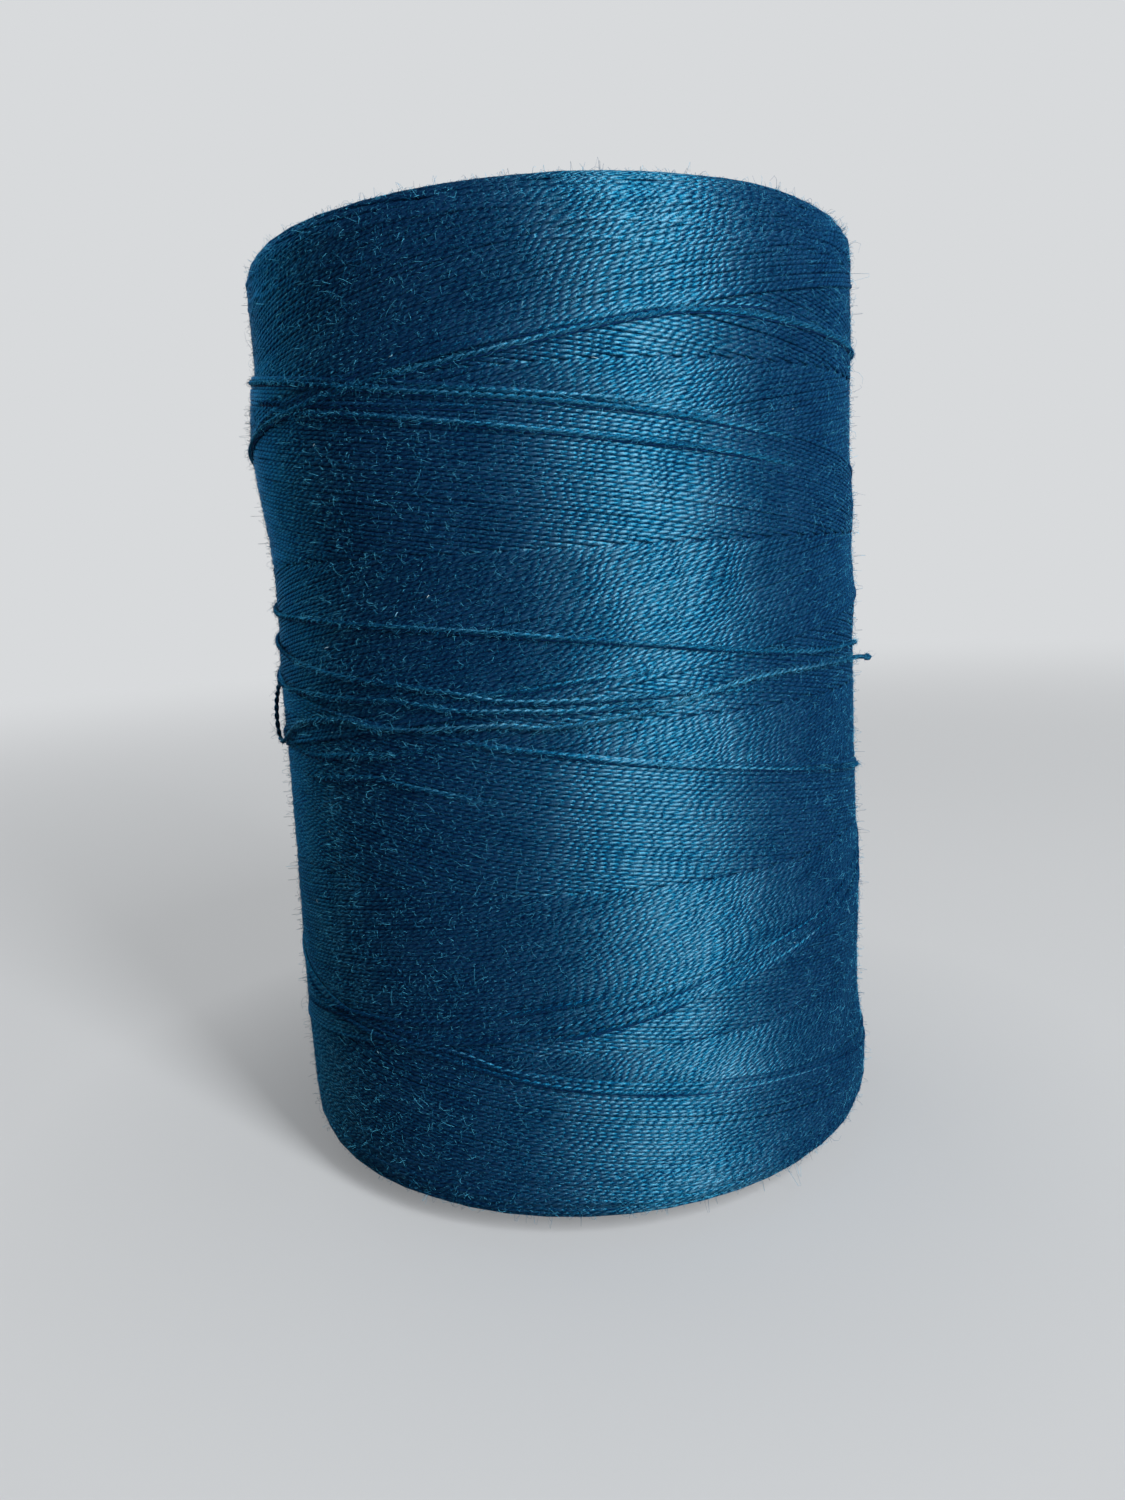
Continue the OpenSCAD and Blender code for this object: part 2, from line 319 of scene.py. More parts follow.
def curve_through(stations, spacing):
    """Catmull-Rom curve through rows of numbers, cut into equal steps along its first three.

    Between b and c, with a before and d after, it is half of
    2b + (c - a) t + (2a - 5b + 4c - d) t^2 + (3b - a - 3c + d) t^3.
    """
    padded = np.vstack([stations[:1], stations, stations[-1:]])
    a, b, c, d = (padded[i:len(padded) - 3 + i, None] for i in range(4))
    t = np.linspace(0, 1, CURVE_STEPS, endpoint=False)[None, :, None]
    cubic = (2 * a - 5 * b + 4 * c - d) * t**2 + (3 * b - a - 3 * c + d) * t**3
    fine = (2 * b + (c - a) * t + cubic) / 2
    fine = np.vstack([fine.reshape(-1, stations.shape[1]), stations[-1:]])
    way = np.concatenate([[0], np.cumsum(np.linalg.norm(np.diff(fine[:, :3], axis=0), axis=1))])
    even = np.linspace(0, way[-1], int(np.ceil(way[-1] / spacing)) + 1)
    return np.stack([np.interp(even, way, column) for column in fine.T], axis=-1)


tail_heights = middle + TAIL_STATIONS[:, 1]
tail_points = np.vstack([
    EXIT_POINT,
    EXIT_POINT + EXIT_DIRECTION * THREAD_WIDTH,
    polar(TAIL_STATIONS[:, 0], package_radius + TAIL_LIFT + TAIL_STATIONS[:, 2], tail_heights),
])
print(f"loose end's route: {len(tail_points)} points")

# %% Two plies twisted together
LAY = 1.7
PLY_OFFSET = 0.105
PLY_RADIUS = 0.128
RINGS_PER_LAY = 8
PLY_RING = LAY / RINGS_PER_LAY
HEXAGON = np.arange(6) * np.pi / 3


def two_ply(name, centre, out, line, rng, swell=1.0):
    """Two tubes twisted round each line, a turn for each lay, a half turn apart.

    A ply's middle is at the angle t = -2 pi (way + start) / lay, and the second ply starts half a
    lay later, so that in the UV map round + along / lay is 0 on the outside of either ply.
    """
    _, out, side, way = line_frame(centre, out, line)
    starts = rng.uniform(0, PATTERN_SPREAD, line.max() + 1)
    starts = np.concatenate([starts, starts - LAY / 2])
    lines = np.concatenate([line, line + line.max() + 1])
    t = (-2 * np.pi * (np.tile(way, 2) + starts[lines]) / LAY)[:, None]
    swell = np.tile(np.broadcast_to(swell, len(line)), 2)
    out, side = np.tile(out, (2, 1)), np.tile(side, (2, 1))
    plies = np.tile(centre, (2, 1)) + PLY_OFFSET * swell[:, None] * (out * np.cos(t) + side * np.sin(t))
    return sweep(name, plies, out, lines, PLY_RADIUS * swell, PLY_RADIUS * swell, HEXAGON, rng, starts)


# %% The loose end
STUB_LENGTH = 1.3
STUB_TAPER = 0.9
STUB_SWELL = 0.6

tail_line = curve_through(tail_points, PLY_RING)
tail_out = unit(tail_line * (1, 1, 0))
tail_way = np.arange(len(tail_line)) * PLY_RING
tail_length = float(np.linalg.norm(np.diff(tail_line, axis=0), axis=1).sum())
tail_swell = 1 + STUB_SWELL * smoothstep((tail_way - tail_length + STUB_LENGTH) / STUB_TAPER)
one_line = np.zeros(len(tail_line), int)
tail_rng = np.random.default_rng(seed=7)
loose_end = two_ply("loose_end", tail_line, tail_out, one_line, tail_rng, tail_swell)
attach(loose_end, "root")
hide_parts("thread_tail")
print(f"loose end: {tail_length:.1f} mm")

# %% [markdown]
# ## How the package is wound
#
# A winder lays the thread up and down while the package turns: six turns and a little for each
# journey up and down. The little, one 79th of a turn, moves each journey beside the one before,
# so 79 journeys cover the package once. At any place one rising and one falling turn lie over
# each other, and the later one shows. That gives the pattern of such a package: rings, half a
# lead apart, between which falling turns show below and rising turns above, divided by two long
# lines, where the last turns of all run.
#
# The rising turn of age g (0 for the newest, 1 for the oldest) starts at azimuth newest - 360 g
# and shows from g to 1 of each ring interval. The falling turn of that age shows from 0 to 1 - g.
# At both ends of its visible run a turn dips under the ones that cross it.
#
# A drum with the rows in its bump would be far lighter, but its outline would be smooth and its
# rows would all lie in one plane. So each visible run is a tube. The hidden parts of the turns
# aren't made. Each run wanders a little, in and out and across, and grows thicker and thinner,
# because perfectly even rows would look like the thread of a screw.

# %% The winding's plan
JOURNEYS = 79
TURNS_PER_WAY = 3
HALF_LEAD = 13.44
LEAD = 2 * HALF_LEAD
FIRST_RING = -39.23
NEWEST_AZIMUTH = 148.5
LAST_TURN_ON_SHOULDER = side_half + 1.0

helix = math.atan2(LEAD, 2 * math.pi * package_radius)
turn_pitch = LEAD / JOURNEYS
print(f"helix {math.degrees(helix):.1f} degrees, a turn every {turn_pitch:.3f} mm")

# %% How a line wanders
QUICK_LENGTH = 0.37
QUICK_SHARE = 0.3
WANDER_OUT = (0.024, 15)  # how far, and the length of the slower sine
WANDER_ACROSS = (0.02, 41)
WANDER_THICK = (0.085, 5.5)
MISPLACED = 0.02


def wander(way, line, rng, size, length):
    """A slow drift along each line: two sines of unlike lengths and random phases."""
    lines = line.max() + 1
    phase, second = rng.uniform(0, 2 * np.pi, (2, lines))
    slow = np.sin(2 * np.pi * way / length + phase[line])
    quick = np.sin(2 * np.pi * way / (length * QUICK_LENGTH) + second[line])
    return size * ((1 - QUICK_SHARE) * slow + QUICK_SHARE * quick)


# %% One family of turns
HALF_WIDTH = 0.195
HALF_DEPTH = 0.17
# Corners of a turn's cross-section: close together outside, where it shows
TURN_CORNERS = np.radians([-135, -80, -35, 35, 80, 135])
RING_STEP = 1.7
LEAST_RINGS = 6
LEAST_RUN = 0.15
DIP_LENGTH = 1.3
DIP = 0.33
PROUD = 0.17
PROUD_AGES = 1.6


def turns(name, rising, seed):
    """The visible runs of all rising or all falling turns, as tubes on the package's side.

    A run starts at the azimuth newest - 360 * number / journeys and goes round by 360 degrees for
    each lead that it climbs. It lies half a thread deep, deeper at its ends, and the newest turns
    stand proud of the rest by an amount that falls with age as exp(-number / ages).
    """
    rng = np.random.default_rng(seed)
    number, interval = np.meshgrid(np.arange(JOURNEYS), np.arange(2 * TURNS_PER_WAY))
    number, interval = number.ravel(), interval.ravel()
    age = number / JOURNEYS
    low = (interval + (age if rising else 0)) * HALF_LEAD
    high = (interval + (1 if rising else 1 - age)) * HALF_LEAD
    high = np.minimum(high, LAST_TURN_ON_SHOULDER - FIRST_RING)
    seen = high - low > LEAST_RUN
    number, low, high = number[seen], low[seen], high[seen]

    rise = math.sin(helix)
    length = (high - low) / rise + 2 * DIP_LENGTH
    line, place = share_rings(length, RING_STEP, LEAST_RINGS)
    way = place * length[line]
    climb = low[line] + (way - DIP_LENGTH) * rise
    start = NEWEST_AZIMUTH - 360 * number[line] / JOURNEYS
    azimuth = start + (360 if rising else -360) * climb / LEAD

    to_end = np.minimum(way, length[line] - way)
    dip = DIP * (1 - smoothstep(to_end / (2 * DIP_LENGTH)))
    proud = PROUD * np.exp(-number[line] / PROUD_AGES)
    depth = HALF_DEPTH + dip - proud + wander(way, line, rng, *WANDER_OUT)
    across = wander(way, line, rng, *WANDER_ACROSS) + rng.normal(0, MISPLACED, len(length))[line]
    centre, out = skin(azimuth, FIRST_RING + climb + across, depth)
    thick = 1 + wander(way, line, rng, *WANDER_THICK)
    return sweep(name, centre, out, line, HALF_WIDTH * thick, HALF_DEPTH * thick, TURN_CORNERS, rng)


rising_turns = turns("rising_turns", rising=True, seed=11)
falling_turns = turns("falling_turns", rising=False, seed=12)
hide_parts("outer_turns")
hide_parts("outer_turns")

# %% [markdown]
# ## The shoulders and the end faces
#
# At each end of its way the thread turns back in a flat arc. The arcs of all layers, one inside
# the other, make the shoulder and the end face, which looks like fine rings that dive under each
# other. An arc is highest where the winder reverses. To either side it slides back along the
# outline by lead * x^2 / (2 r), where x is in turns and r is the part of a turn in which the
# winder reverses, so it comes round the shoulder from the side or runs out on the end face. Plain
# rings would be simpler, but the shoulder would then look turned on a lathe.

# %% Arcs where the thread turns back
ARCS_PER_RING = 10
ARC_HALF_SPAN = 35
ARC_SPANS = (0.85, 1.25)
ARC_RINGS = 11
ARC_OVERLAP = 2.4
ARC_END_DIP = 0.3
ARC_UNEVEN = 0.12
ARC_MISPLACED = 0.05
REVERSE_TURN = 1 / 8
FACE_MARGIN = 0.2
APEX_SPREAD = 0.4
GOLDEN_ANGLE = 137.5


def end_arcs(name, end, seed):
    """Arcs over one shoulder and end face: end is 1 for the upper one and -1 for the lower one.

    Each ring of arcs is turned by the golden angle from the one before, so that no two rings near
    each other have their arcs at the same places.
    """
    rng = np.random.default_rng(seed)
    reach = np.arange(side_half - ARC_OVERLAP, face_end - FACE_MARGIN, turn_pitch)
    reach, number = (g.ravel() for g in np.meshgrid(reach, np.arange(ARCS_PER_RING)))
    apex = 360 * (number + rng.uniform(-APEX_SPREAD, APEX_SPREAD, len(reach))) / ARCS_PER_RING
    apex = apex + GOLDEN_ANGLE * np.round(reach / turn_pitch)
    span = ARC_HALF_SPAN * rng.uniform(*ARC_SPANS, len(reach))
    reach = reach + rng.normal(0, ARC_MISPLACED, len(reach))
    place = np.linspace(-1, 1, ARC_RINGS)[None]
    swing = span[:, None] * place
    uneven = rng.uniform(-ARC_UNEVEN, ARC_UNEVEN, len(reach))[:, None]
    depth = HALF_DEPTH + uneven + ARC_END_DIP * place**4
    slide = LEAD * (swing / 360) ** 2 / (2 * REVERSE_TURN)
    centre, out = skin(apex[:, None] + swing, end * (reach[:, None] - slide), depth)
    line = np.repeat(np.arange(len(reach)), ARC_RINGS)
    return sweep(
        name, centre.reshape(-1, 3), out.reshape(-1, 3), line, HALF_WIDTH, HALF_DEPTH,
        TURN_CORNERS, rng)


upper_arcs = end_arcs("upper_end_arcs", end=1, seed=21)
lower_arcs = end_arcs("lower_end_arcs", end=-1, seed=22)

# %% [markdown]
# ## The thread underneath
#
# Between the turns the next layer shows as a dark line. So little of it is seen that it needs no
# tubes: it is one closed surface at a small depth under the visible turns, made by the same
# function as they are, and closed by the bore that the core fills. It stands for all the layers
# inside. Its rows are painted in its colour, with painted shade between the turns, and follow the
# way along the outline, which it keeps in the attribute "shade".

# %% The inner winding
INNER_DEPTH = 0.3
ROUND_STEPS = 180
SIDE_STEPS, SHOULDER_STEPS, FACE_STEPS = 49, 8, 7


def wrapped(name, depth, steps):
    """A closed surface: the package's outline at a depth, at every azimuth, closed by the bore."""
    reach = np.concatenate([
        np.linspace(-face_end, -shoulder_end, FACE_STEPS + 1),
        np.linspace(-shoulder_end, -side_half, SHOULDER_STEPS + 1)[1:],
        np.linspace(-side_half, side_half, SIDE_STEPS + 1)[1:],
        np.linspace(side_half, shoulder_end, SHOULDER_STEPS + 1)[1:],
        np.linspace(shoulder_end, face_end, FACE_STEPS + 1)[1:],
    ])
    points, _ = skin((np.arange(steps) * 360 / steps)[:, None], reach, depth)
    count = len(reach)
    i, j = (g.ravel() for g in np.meshgrid(np.arange(steps), np.arange(count), indexing="ij"))
    k, m = (i + 1) % steps, (j + 1) % count
    quads = np.stack([i * count + j, k * count + j, k * count + m, i * count + m], axis=-1)
    return make_piece(name, points.reshape(-1, 3), [quads], shade=np.tile(reach, steps))


inner_winding = wrapped("inner_winding", INNER_DEPTH, ROUND_STEPS)
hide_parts("wound_body")

# %% [markdown]
# ## The slack turns
#
# Where the end was pulled, the last turns have come loose: they lie on the package and not in it,
# wander from their places and cross each other. They show against the fine rows as single bright
# cords with a shadow below. They are too few and too irregular for a rule, so each is a curve
# through a few places, at one of three depths. Some have nearly sunk back among the rows. Those
# have the winding's own colours, and are a piece of their own; the others have lighter colours,
# painted light for cords that stand proud. All sink between their neighbours at both ends. Below
# each lies a thin dark cord, a painted shadow line.

# %% Routes of the slack turns
HIGH, MIDDLING, LOW = -0.16, -0.08, 0.05
SLACK_TURNS = [  # depth; azimuth and height over the package's middle
    (MIDDLING, [(-112, 33.7), (-74, 30.8), (-46, 28.7), (-24, 26.8), (1, 25.1), (24, 23.5),
        (50, 21.6)]),
    (MIDDLING, [(-58, 27.2), (-36, 25.7), (-16, 24.2), (0, 23), (14, 22), (30, 21), (48, 19.7)]),
    (MIDDLING, [(-30, 27.7), (-14, 26.5), (0, 25.6), (13, 24.9), (30, 23.8)]),
    (MIDDLING, [(-105, 22.8), (-72, 25), (-60, 26), (-47, 26.7), (-32, 27.6), (-14, 28.6),
        (1, 29.8), (13, 30.8), (27, 31.3), (69, 30.4), (100, 31)]),
    (HIGH, [(-108, 12.3), (-75, 10.4), (-66, 10.1), (-50, 9.8), (-30, 9.2), (-15, 8.6), (-1, 7.8),
        (14, 6.9), (27, 6), (37, 5.4), (49, 4.9), (70, 4.6), (96, 3.4)]),
    (HIGH, [(-96, 9), (-65, 6.8), (-49, 5.6), (-38, 5), (-27, 4.5), (-19, 3.9), (-11, 3.2),
        (-2, 3), (11, 3), (21, 3), (36, 2.4)]),
    (MIDDLING, [(-26, 3.3), (-14, 3.7), (-6, 4), (0, 4.4), (5, 4.6), (11, 4.7), (22, 5.6)]),
    (HIGH, [(-100, 5.5), (-69, 3.8), (-54, 3.6), (-43, 3.4), (-30, 3.3), (-18, 2.5), (-10, 2.4),
        (0, 2.2), (12, 2.3), (26, 1.9)]),
    (MIDDLING, [(-92, -0.4), (-65, -1.5), (-54, -1.9), (-41, -1.4), (-30, -1), (-14, 0.1)]),
    (MIDDLING, [(-66, -3.6), (-52, -3.8), (-37, -3.1), (-26, -3.8), (-10, -5.1)]),
    (HIGH, [(-27, 0.6), (-17, -0.1), (-10, -0.6), (-4, -1), (4, -1.7), (14, -2.5), (28, -3.5),
        (57, -5.9), (92, -8.5)]),
]
SUNK_TURNS = [
    (LOW, [(-74, 29.4), (-54, 27.7), (-27, 25.9), (-14, 25.2), (2, 24.4)]),
    (LOW, [(-76, 25.1), (-60, 26.5), (-47, 27.4), (-38, 28.1), (-27, 28.9), (-14, 29.5), (1, 30.3),
        (13, 31.3), (30, 31.9), (50, 31.9)]),
    (LOW, [(-82, -27.6), (-70, -26.7), (-46, -24.9), (-30, -24.9), (-13, -24.3), (-1, -23),
        (10, -21.8), (22, -20.3), (35, -18.8), (50, -17.6), (70, -15.2), (98, -12)]),
    (LOW, [(-18, -25.1), (-7, -24.5), (4, -23.6), (12, -22.8), (21, -21.6), (32, -20.6),
        (46, -19.3), (58, -18.2), (80, -15.6), (104, -13.2)]),
    (LOW, [(-22, -27.1), (-10, -28), (1, -28.9), (18, -30.2), (40, -31.6), (60, -33.4),
        (75, -35.1), (98, -36.3)]),
    (MIDDLING, [(-70, -25.6), (-52, -24.7), (-28, -23.6), (-8, -21.8), (10, -20.5)]),
    (MIDDLING, [(-58, -24.9), (-42, -25.8), (-24, -25.8), (-12, -27.3), (6, -28.6)]),
    (MIDDLING, [(-80, -23.6), (-52, -25.2), (-28, -26.3), (-10, -28), (1, -28.9), (18, -30.2)]),
]
print(f"{len(SLACK_TURNS)} slack turns and {len(SUNK_TURNS)} sunk ones")

# %% Slack and sunk turns
SINK = 0.4
SINK_LENGTH = 9.0
# Painted shadow: a thin dark cord along each slack turn, dropped a little below it
SHADOW_LINE_DROP, SHADOW_LINE_DEPTH, SHADOW_LINE_HALF_WIDTH = 0.22, 0.04, 0.1


def slack_turns(name, routes, seed):
    """Curves in azimuth and height laid on the package as plied cords, each with a painted shadow
    below.

    A curve is drawn on the package's unrolled side, where a degree of azimuth is radius * pi / 180
    wide. Its depth is its own, and grows by the sink at both ends. Gives the cords, the painted
    shadow lines, and the middle and the outward direction of every ring.
    """
    rng = np.random.default_rng(seed)
    degree = math.radians(package_radius)
    rows = []
    for number, (lying, stations) in enumerate(routes):
        places = np.array([(azimuth * degree, height, 0) for azimuth, height in stations])
        route = curve_through(places, PLY_RING)
        way = np.arange(len(route)) * PLY_RING
        sink = SINK * (1 - smoothstep(np.minimum(way, way[-1] - way) / SINK_LENGTH))
        columns = (
            route[:, 0] / degree, route[:, 1], lying + sink, SHADOW_LINE_DEPTH + lying / 2 + sink,
            np.full(len(route), number))
        rows.append(np.stack(columns, axis=-1))
    azimuth, height, depth, gap_depth, line = np.vstack(rows).T
    line = line.astype(int)
    # The painted shadow line: a thin dark cord a little below the turn
    gap, gap_out = skin(azimuth, height - SHADOW_LINE_DROP, gap_depth)
    gaps = sweep(name + "_gaps", gap, gap_out, line, SHADOW_LINE_HALF_WIDTH, SHADOW_LINE_HALF_WIDTH, HEXAGON, rng)
    centre, out = skin(azimuth, height, depth)
    return two_ply(name, centre, out, line, rng), gaps, centre, out


slack, slack_gaps, *slack_route = slack_turns("slack_turns", SLACK_TURNS, seed=31)
sunk, sunk_gaps = slack_turns("sunk_turns", SUNK_TURNS, seed=32)[:2]

# %% [markdown]
# ## Fuzz and lint
#
# Spun thread is hairy: fibre ends stand out of it, lie along it and catch the light, and they
# soften the outline. Blender's hair system could grow them, but as plain meshes they look the same
# in every program that opens the spool. Each hair is a bent line with a few three-sided rings, so
# that a hundred thousand of them stay cheap. There are hairs that lie, rise, stand off and stick
# up, a fringe along the loose threads, and short stubs by the ten thousand that only roughen the
# rows. A few pale specks of lint cling to the surface too.

# %% Places for hairs
HAIR_ROOT = 0.12
FUZZ_ON_FACE = 6
FUZZ_REACH = shoulder_end + FUZZ_ON_FACE
OUT_OF_CORD = 0.15
ROUND_CORD = 2


def all_over(count, rng, depth=HAIR_ROOT):
    """Random places on the package: a point, the way out of it and the way round the package."""
    azimuth = rng.uniform(0, 360, count)
    point, out = skin(azimuth, rng.uniform(-FUZZ_REACH, FUZZ_REACH, count), depth)
    return point, out, polar(azimuth + 90, 1.0, 0.0)


def on_lines(count, rng, centre, out):
    """Random places on lines of thread: a point, a way out turned at random, and the way along.

    The way out is out * cos(turn) + (along x out) * sin(turn).
    """
    ring = rng.integers(1, len(centre) - 1, count)
    along = unit(centre[ring + 1] - centre[ring])
    turn = rng.uniform(-ROUND_CORD, ROUND_CORD, count)[:, None]
    up = out[ring] * np.cos(turn) + np.cross(along, out[ring]) * np.sin(turn)
    return centre[ring] + up * OUT_OF_CORD, up, along


# %% Hairs
TRIANGLE = np.arange(3) * 2 * np.pi / 3
HAIR_HALF_WIDTH = 0.014
HAIR_TAPER = 0.45
HAIR_LEAST, HAIR_MOST = 0.1, 3
LENGTH_SPREAD = 0.45
TIP_SHARE = 0.8
CURL_SPREAD = 0.35
TILT_SPREAD = 0.5
FLOOR_CLEARANCE = 0.1


def hairs(name, places, rng, length, lift, half_width=HAIR_HALF_WIDTH, root_depth=HAIR_ROOT, rings=5,
          level=0.6):
    """Bent hairs at places, of random lengths round a length and rises round a lift.

    A hair is root + along * length * t + sideways * curl * t^2 + out * (4 * rise * t * (1 - t)
    + tip * t^2 + root depth * sqrt(t)), for t from 0 to 1. The share level of them runs nearly
    round the package or along the thread, and the rest any way.
    """
    root, out, east = places
    count = len(root)
    north = np.cross(out, east)
    turn = np.where(
        rng.random(count) < level,
        rng.normal(0, TILT_SPREAD, count),
        rng.uniform(-np.pi, np.pi, count))
    along = east * np.cos(turn)[:, None] + north * np.sin(turn)[:, None]
    along = along * rng.choice([-1, 1], count)[:, None]
    sideways = np.cross(out, along)
    lengths = length * rng.lognormal(0, LENGTH_SPREAD, count)
    lengths = np.clip(lengths, HAIR_LEAST, HAIR_MOST)[:, None, None]
    rise = lift * rng.exponential(1, count)[:, None, None]
    tip = lift * rng.exponential(TIP_SHARE, count)[:, None, None]
    curl = rng.normal(0, CURL_SPREAD, count)[:, None, None] * lengths
    t = np.linspace(0, 1, rings)[None, :, None]
    centre = root[:, None] + along[:, None] * lengths * t + sideways[:, None] * curl * t * t
    centre = centre + out[:, None] * (rise * 4 * t * (1 - t) + tip * t * t + root_depth * np.sqrt(t))
    centre[..., 2] = np.maximum(centre[..., 2], FLOOR_CLEARANCE)
    line = np.repeat(np.arange(count), rings)
    taper = np.tile(np.linspace(1, HAIR_TAPER, rings), count) * half_width
    outs = np.repeat(out, rings, axis=0)
    return sweep(name, centre.reshape(-1, 3), outs, line, taper, taper, TRIANGLE, rng)


# %% Fuzz
CORD_HAIR_ROOT = 0.02
STUB_HALF_WIDTH = 0.015
STUB_ROOT = 0.03
STUB_GROUPS = 4

hair_rng = np.random.default_rng(seed=41)
fuzz = [
    hairs("fuzz_lying", all_over(2000, hair_rng), hair_rng, length=0.6, lift=0.05),
    hairs("fuzz_raised", all_over(6000, hair_rng), hair_rng, length=0.5, lift=0.12),
    hairs("fuzz_standing", all_over(7500, hair_rng), hair_rng, length=0.6, lift=0.25, rings=4),
    hairs("fuzz_upright", all_over(13500, hair_rng), hair_rng, length=0.32, lift=0.18, rings=3),
    hairs("fuzz_of_slack", on_lines(5500, hair_rng, *slack_route), hair_rng, length=0.4, lift=0.08,
          root_depth=CORD_HAIR_ROOT),
    hairs("fuzz_of_end", on_lines(900, hair_rng, tail_line, tail_out), hair_rng, length=0.45, lift=0.12,
          root_depth=CORD_HAIR_ROOT),
]
for number in range(STUB_GROUPS):
    fuzz.append(hairs(
        f"fibre_ends_{number}", all_over(17000, hair_rng, STUB_ROOT), hair_rng, length=0.22, lift=0.06,
        half_width=STUB_HALF_WIDTH, root_depth=STUB_ROOT, rings=2, level=0.25))

# %% Lint
lint = hairs("lint", all_over(60, hair_rng), hair_rng, length=0.35, lift=0.08, half_width=0.03)

# %% [markdown]
# ## Shader maths
#
# A finish is a formula over the surface. One small class wraps an output of a node, so that the
# formula can be written with Python's own operators and each operator adds its Math node. Linking
# the same nodes by hand gives the same material, but nobody could read the formula from it.

# %% A class for values in a material
class Value:
    """A node's output in a finish, on which operators add Math nodes."""

    def __init__(self, finish, socket):
        self.finish, self.socket = finish, socket

    def other_output(self, name):
        """Another output of the same node."""
        return Value(self.finish, self.socket.node.outputs[name])

    def math(self, operation, *others, flipped=False):
        """A Math node on this value and others, with this one last if flipped."""
        values = (*others, self) if flipped else (self, *others)
        return self.finish.node("ShaderNodeMath", {"operation": operation}, dict(enumerate(values)))

    def ramp(self, start, length):
        """0 up to a start, 1 from a length after it, and straight between."""
        return ((self - start) * (1 / length)).math("MAXIMUM", 0.0).math("MINIMUM", 1.0)

    def __add__(self, other):
        return self.math("ADD", other)

    def __sub__(self, other):
        return self.math("SUBTRACT", other)

    def __rsub__(self, other):
        return self.math("SUBTRACT", other, flipped=True)

    def __mul__(self, other):
        return self.math("MULTIPLY", other)

    def __pow__(self, other):
        return self.math("POWER", other)

    __radd__ = __add__
    __rmul__ = __mul__


# %% A class for finishes
class Finish:
    """A material built node by node on the Principled shader that it starts with."""

    def __init__(self, name, **constants):
        self.material = bpy.data.materials.new(name)
        self.material.use_nodes = True
        self.tree = self.material.node_tree
        self.shader = self.tree.nodes["Principled BSDF"]
        self.principled = Value(self, self.shader.outputs[0])
        for words, value in constants.items():
            socket = words.replace("_", " ").title().replace("Ior", "IOR")
            self.shader.inputs[socket].default_value = value

    def node(self, kind, settings=None, inputs=None, output=0):
        """Adds a node: settings first, then the values or links of its inputs; gives one output."""
        made = self.tree.nodes.new(kind)
        for key, value in (settings or {}).items():
            if key == "stops":
                while len(made.color_ramp.elements) < len(value):
                    made.color_ramp.elements.new(0.5)  # anywhere: it gets its place below
                for element, (position, shown) in zip(made.color_ramp.elements, value):
                    element.position, element.color = position, shown
            else:
                setattr(made, key, value)
        for key, value in (inputs or {}).items():
            if isinstance(value, Value):
                self.tree.links.new(value.socket, made.inputs[key])
            else:
                made.inputs[key].default_value = value
        return Value(self, made.outputs[output])

    def place(self):
        """Where a point is on the object, in metres."""
        return self.node("ShaderNodeTexCoord", output="Object")

    def noise(self, place, scale, detail):
        """A noise from 0 to 1, of so many waves to a unit of place."""
        return self.node("ShaderNodeTexNoise", {}, {"Vector": place, "Scale": scale, "Detail": detail})

    def shade(self):
        """What the piece keeps in its attribute: a number for each thread, or the way along."""
        return self.node("ShaderNodeAttribute", {"attribute_name": "shade"}, output="Fac")

    def mix(self, share, first, second):
        """The first colour where the share is 0, the second where it is 1."""
        # Sockets by number, because a Mix node has several of the same name, one for each type
        colours = {0: share, 6: first, 7: second}
        return self.node("ShaderNodeMix", {"data_type": "RGBA"}, colours, output=2)

    def feed(self, socket, value):
        """Links a value to the Principled shader."""
        self.tree.links.new(value.socket, self.shader.inputs[socket])

    def show(self, surface):
        """Makes another shader than the Principled one the surface."""
        self.tree.links.new(surface.socket, self.tree.nodes["Material Output"].inputs["Surface"])


def colour(red, green, blue):
    """A colour as a shader takes it, from the 0 to 255 values of a screen.

    A value c from 0 to 1 becomes ((c + 0.055) / 1.055) ^ 2.4, or c / 12.92 where it is small.
    """
    return tuple(((c / 255 + 0.055) / 1.055) ** 2.4 if c > 10 else c / 255 / 12.92
                 for c in (red, green, blue)) + (1.0,)


def put_on(piece, material):
    """Gives a piece its only material."""
    piece.data.materials.clear()
    piece.data.materials.append(material)


# %% [markdown]
# ## The thread's finish
#
# A wound turn is one tube, and its two plies are a relief on it. In the UV map, which holds
# millimetres along and turns round, the middles of the plies swing across the thread like a sine,
# one ply up while the other is down. The relief is the height of the nearer round ply, less the
# round of the thread itself. It is the bump, and through the colours it also paints shade into
# the groove between the plies. Plies as real tubes, as on the slack turns, would take sixteen
# times the faces for much the same look.
#
# Thread has two looks at once: its dye, a deep blue that hardly shines, and the gloss of its
# combed fibres, which is paler and greener. One shader can't have both colours, so two are mixed
# half and half: a matt one for the dye, and a metallic one for the gloss, whose highlight is drawn
# out as on brushed metal. One value says how light a place is: ridge or groove, fibres (a noise
# drawn out along the thread), uneven dye, and specks too small to model. Ridge or groove is
# painted shade, so the groove between the plies gets a darker dye and a darker gloss. The value
# picks the dye between two colours and the gloss from a ramp of colours.

# %% The thread's colours
# The dye's dark end and the gloss ramps' dark stops are darker dye, and also painted shade in the
# grooves between the plies
DYE_CREST = colour(0, 50, 98)
DYE_DARK_AND_GROOVE_SHADE = colour(0, 33, 72)
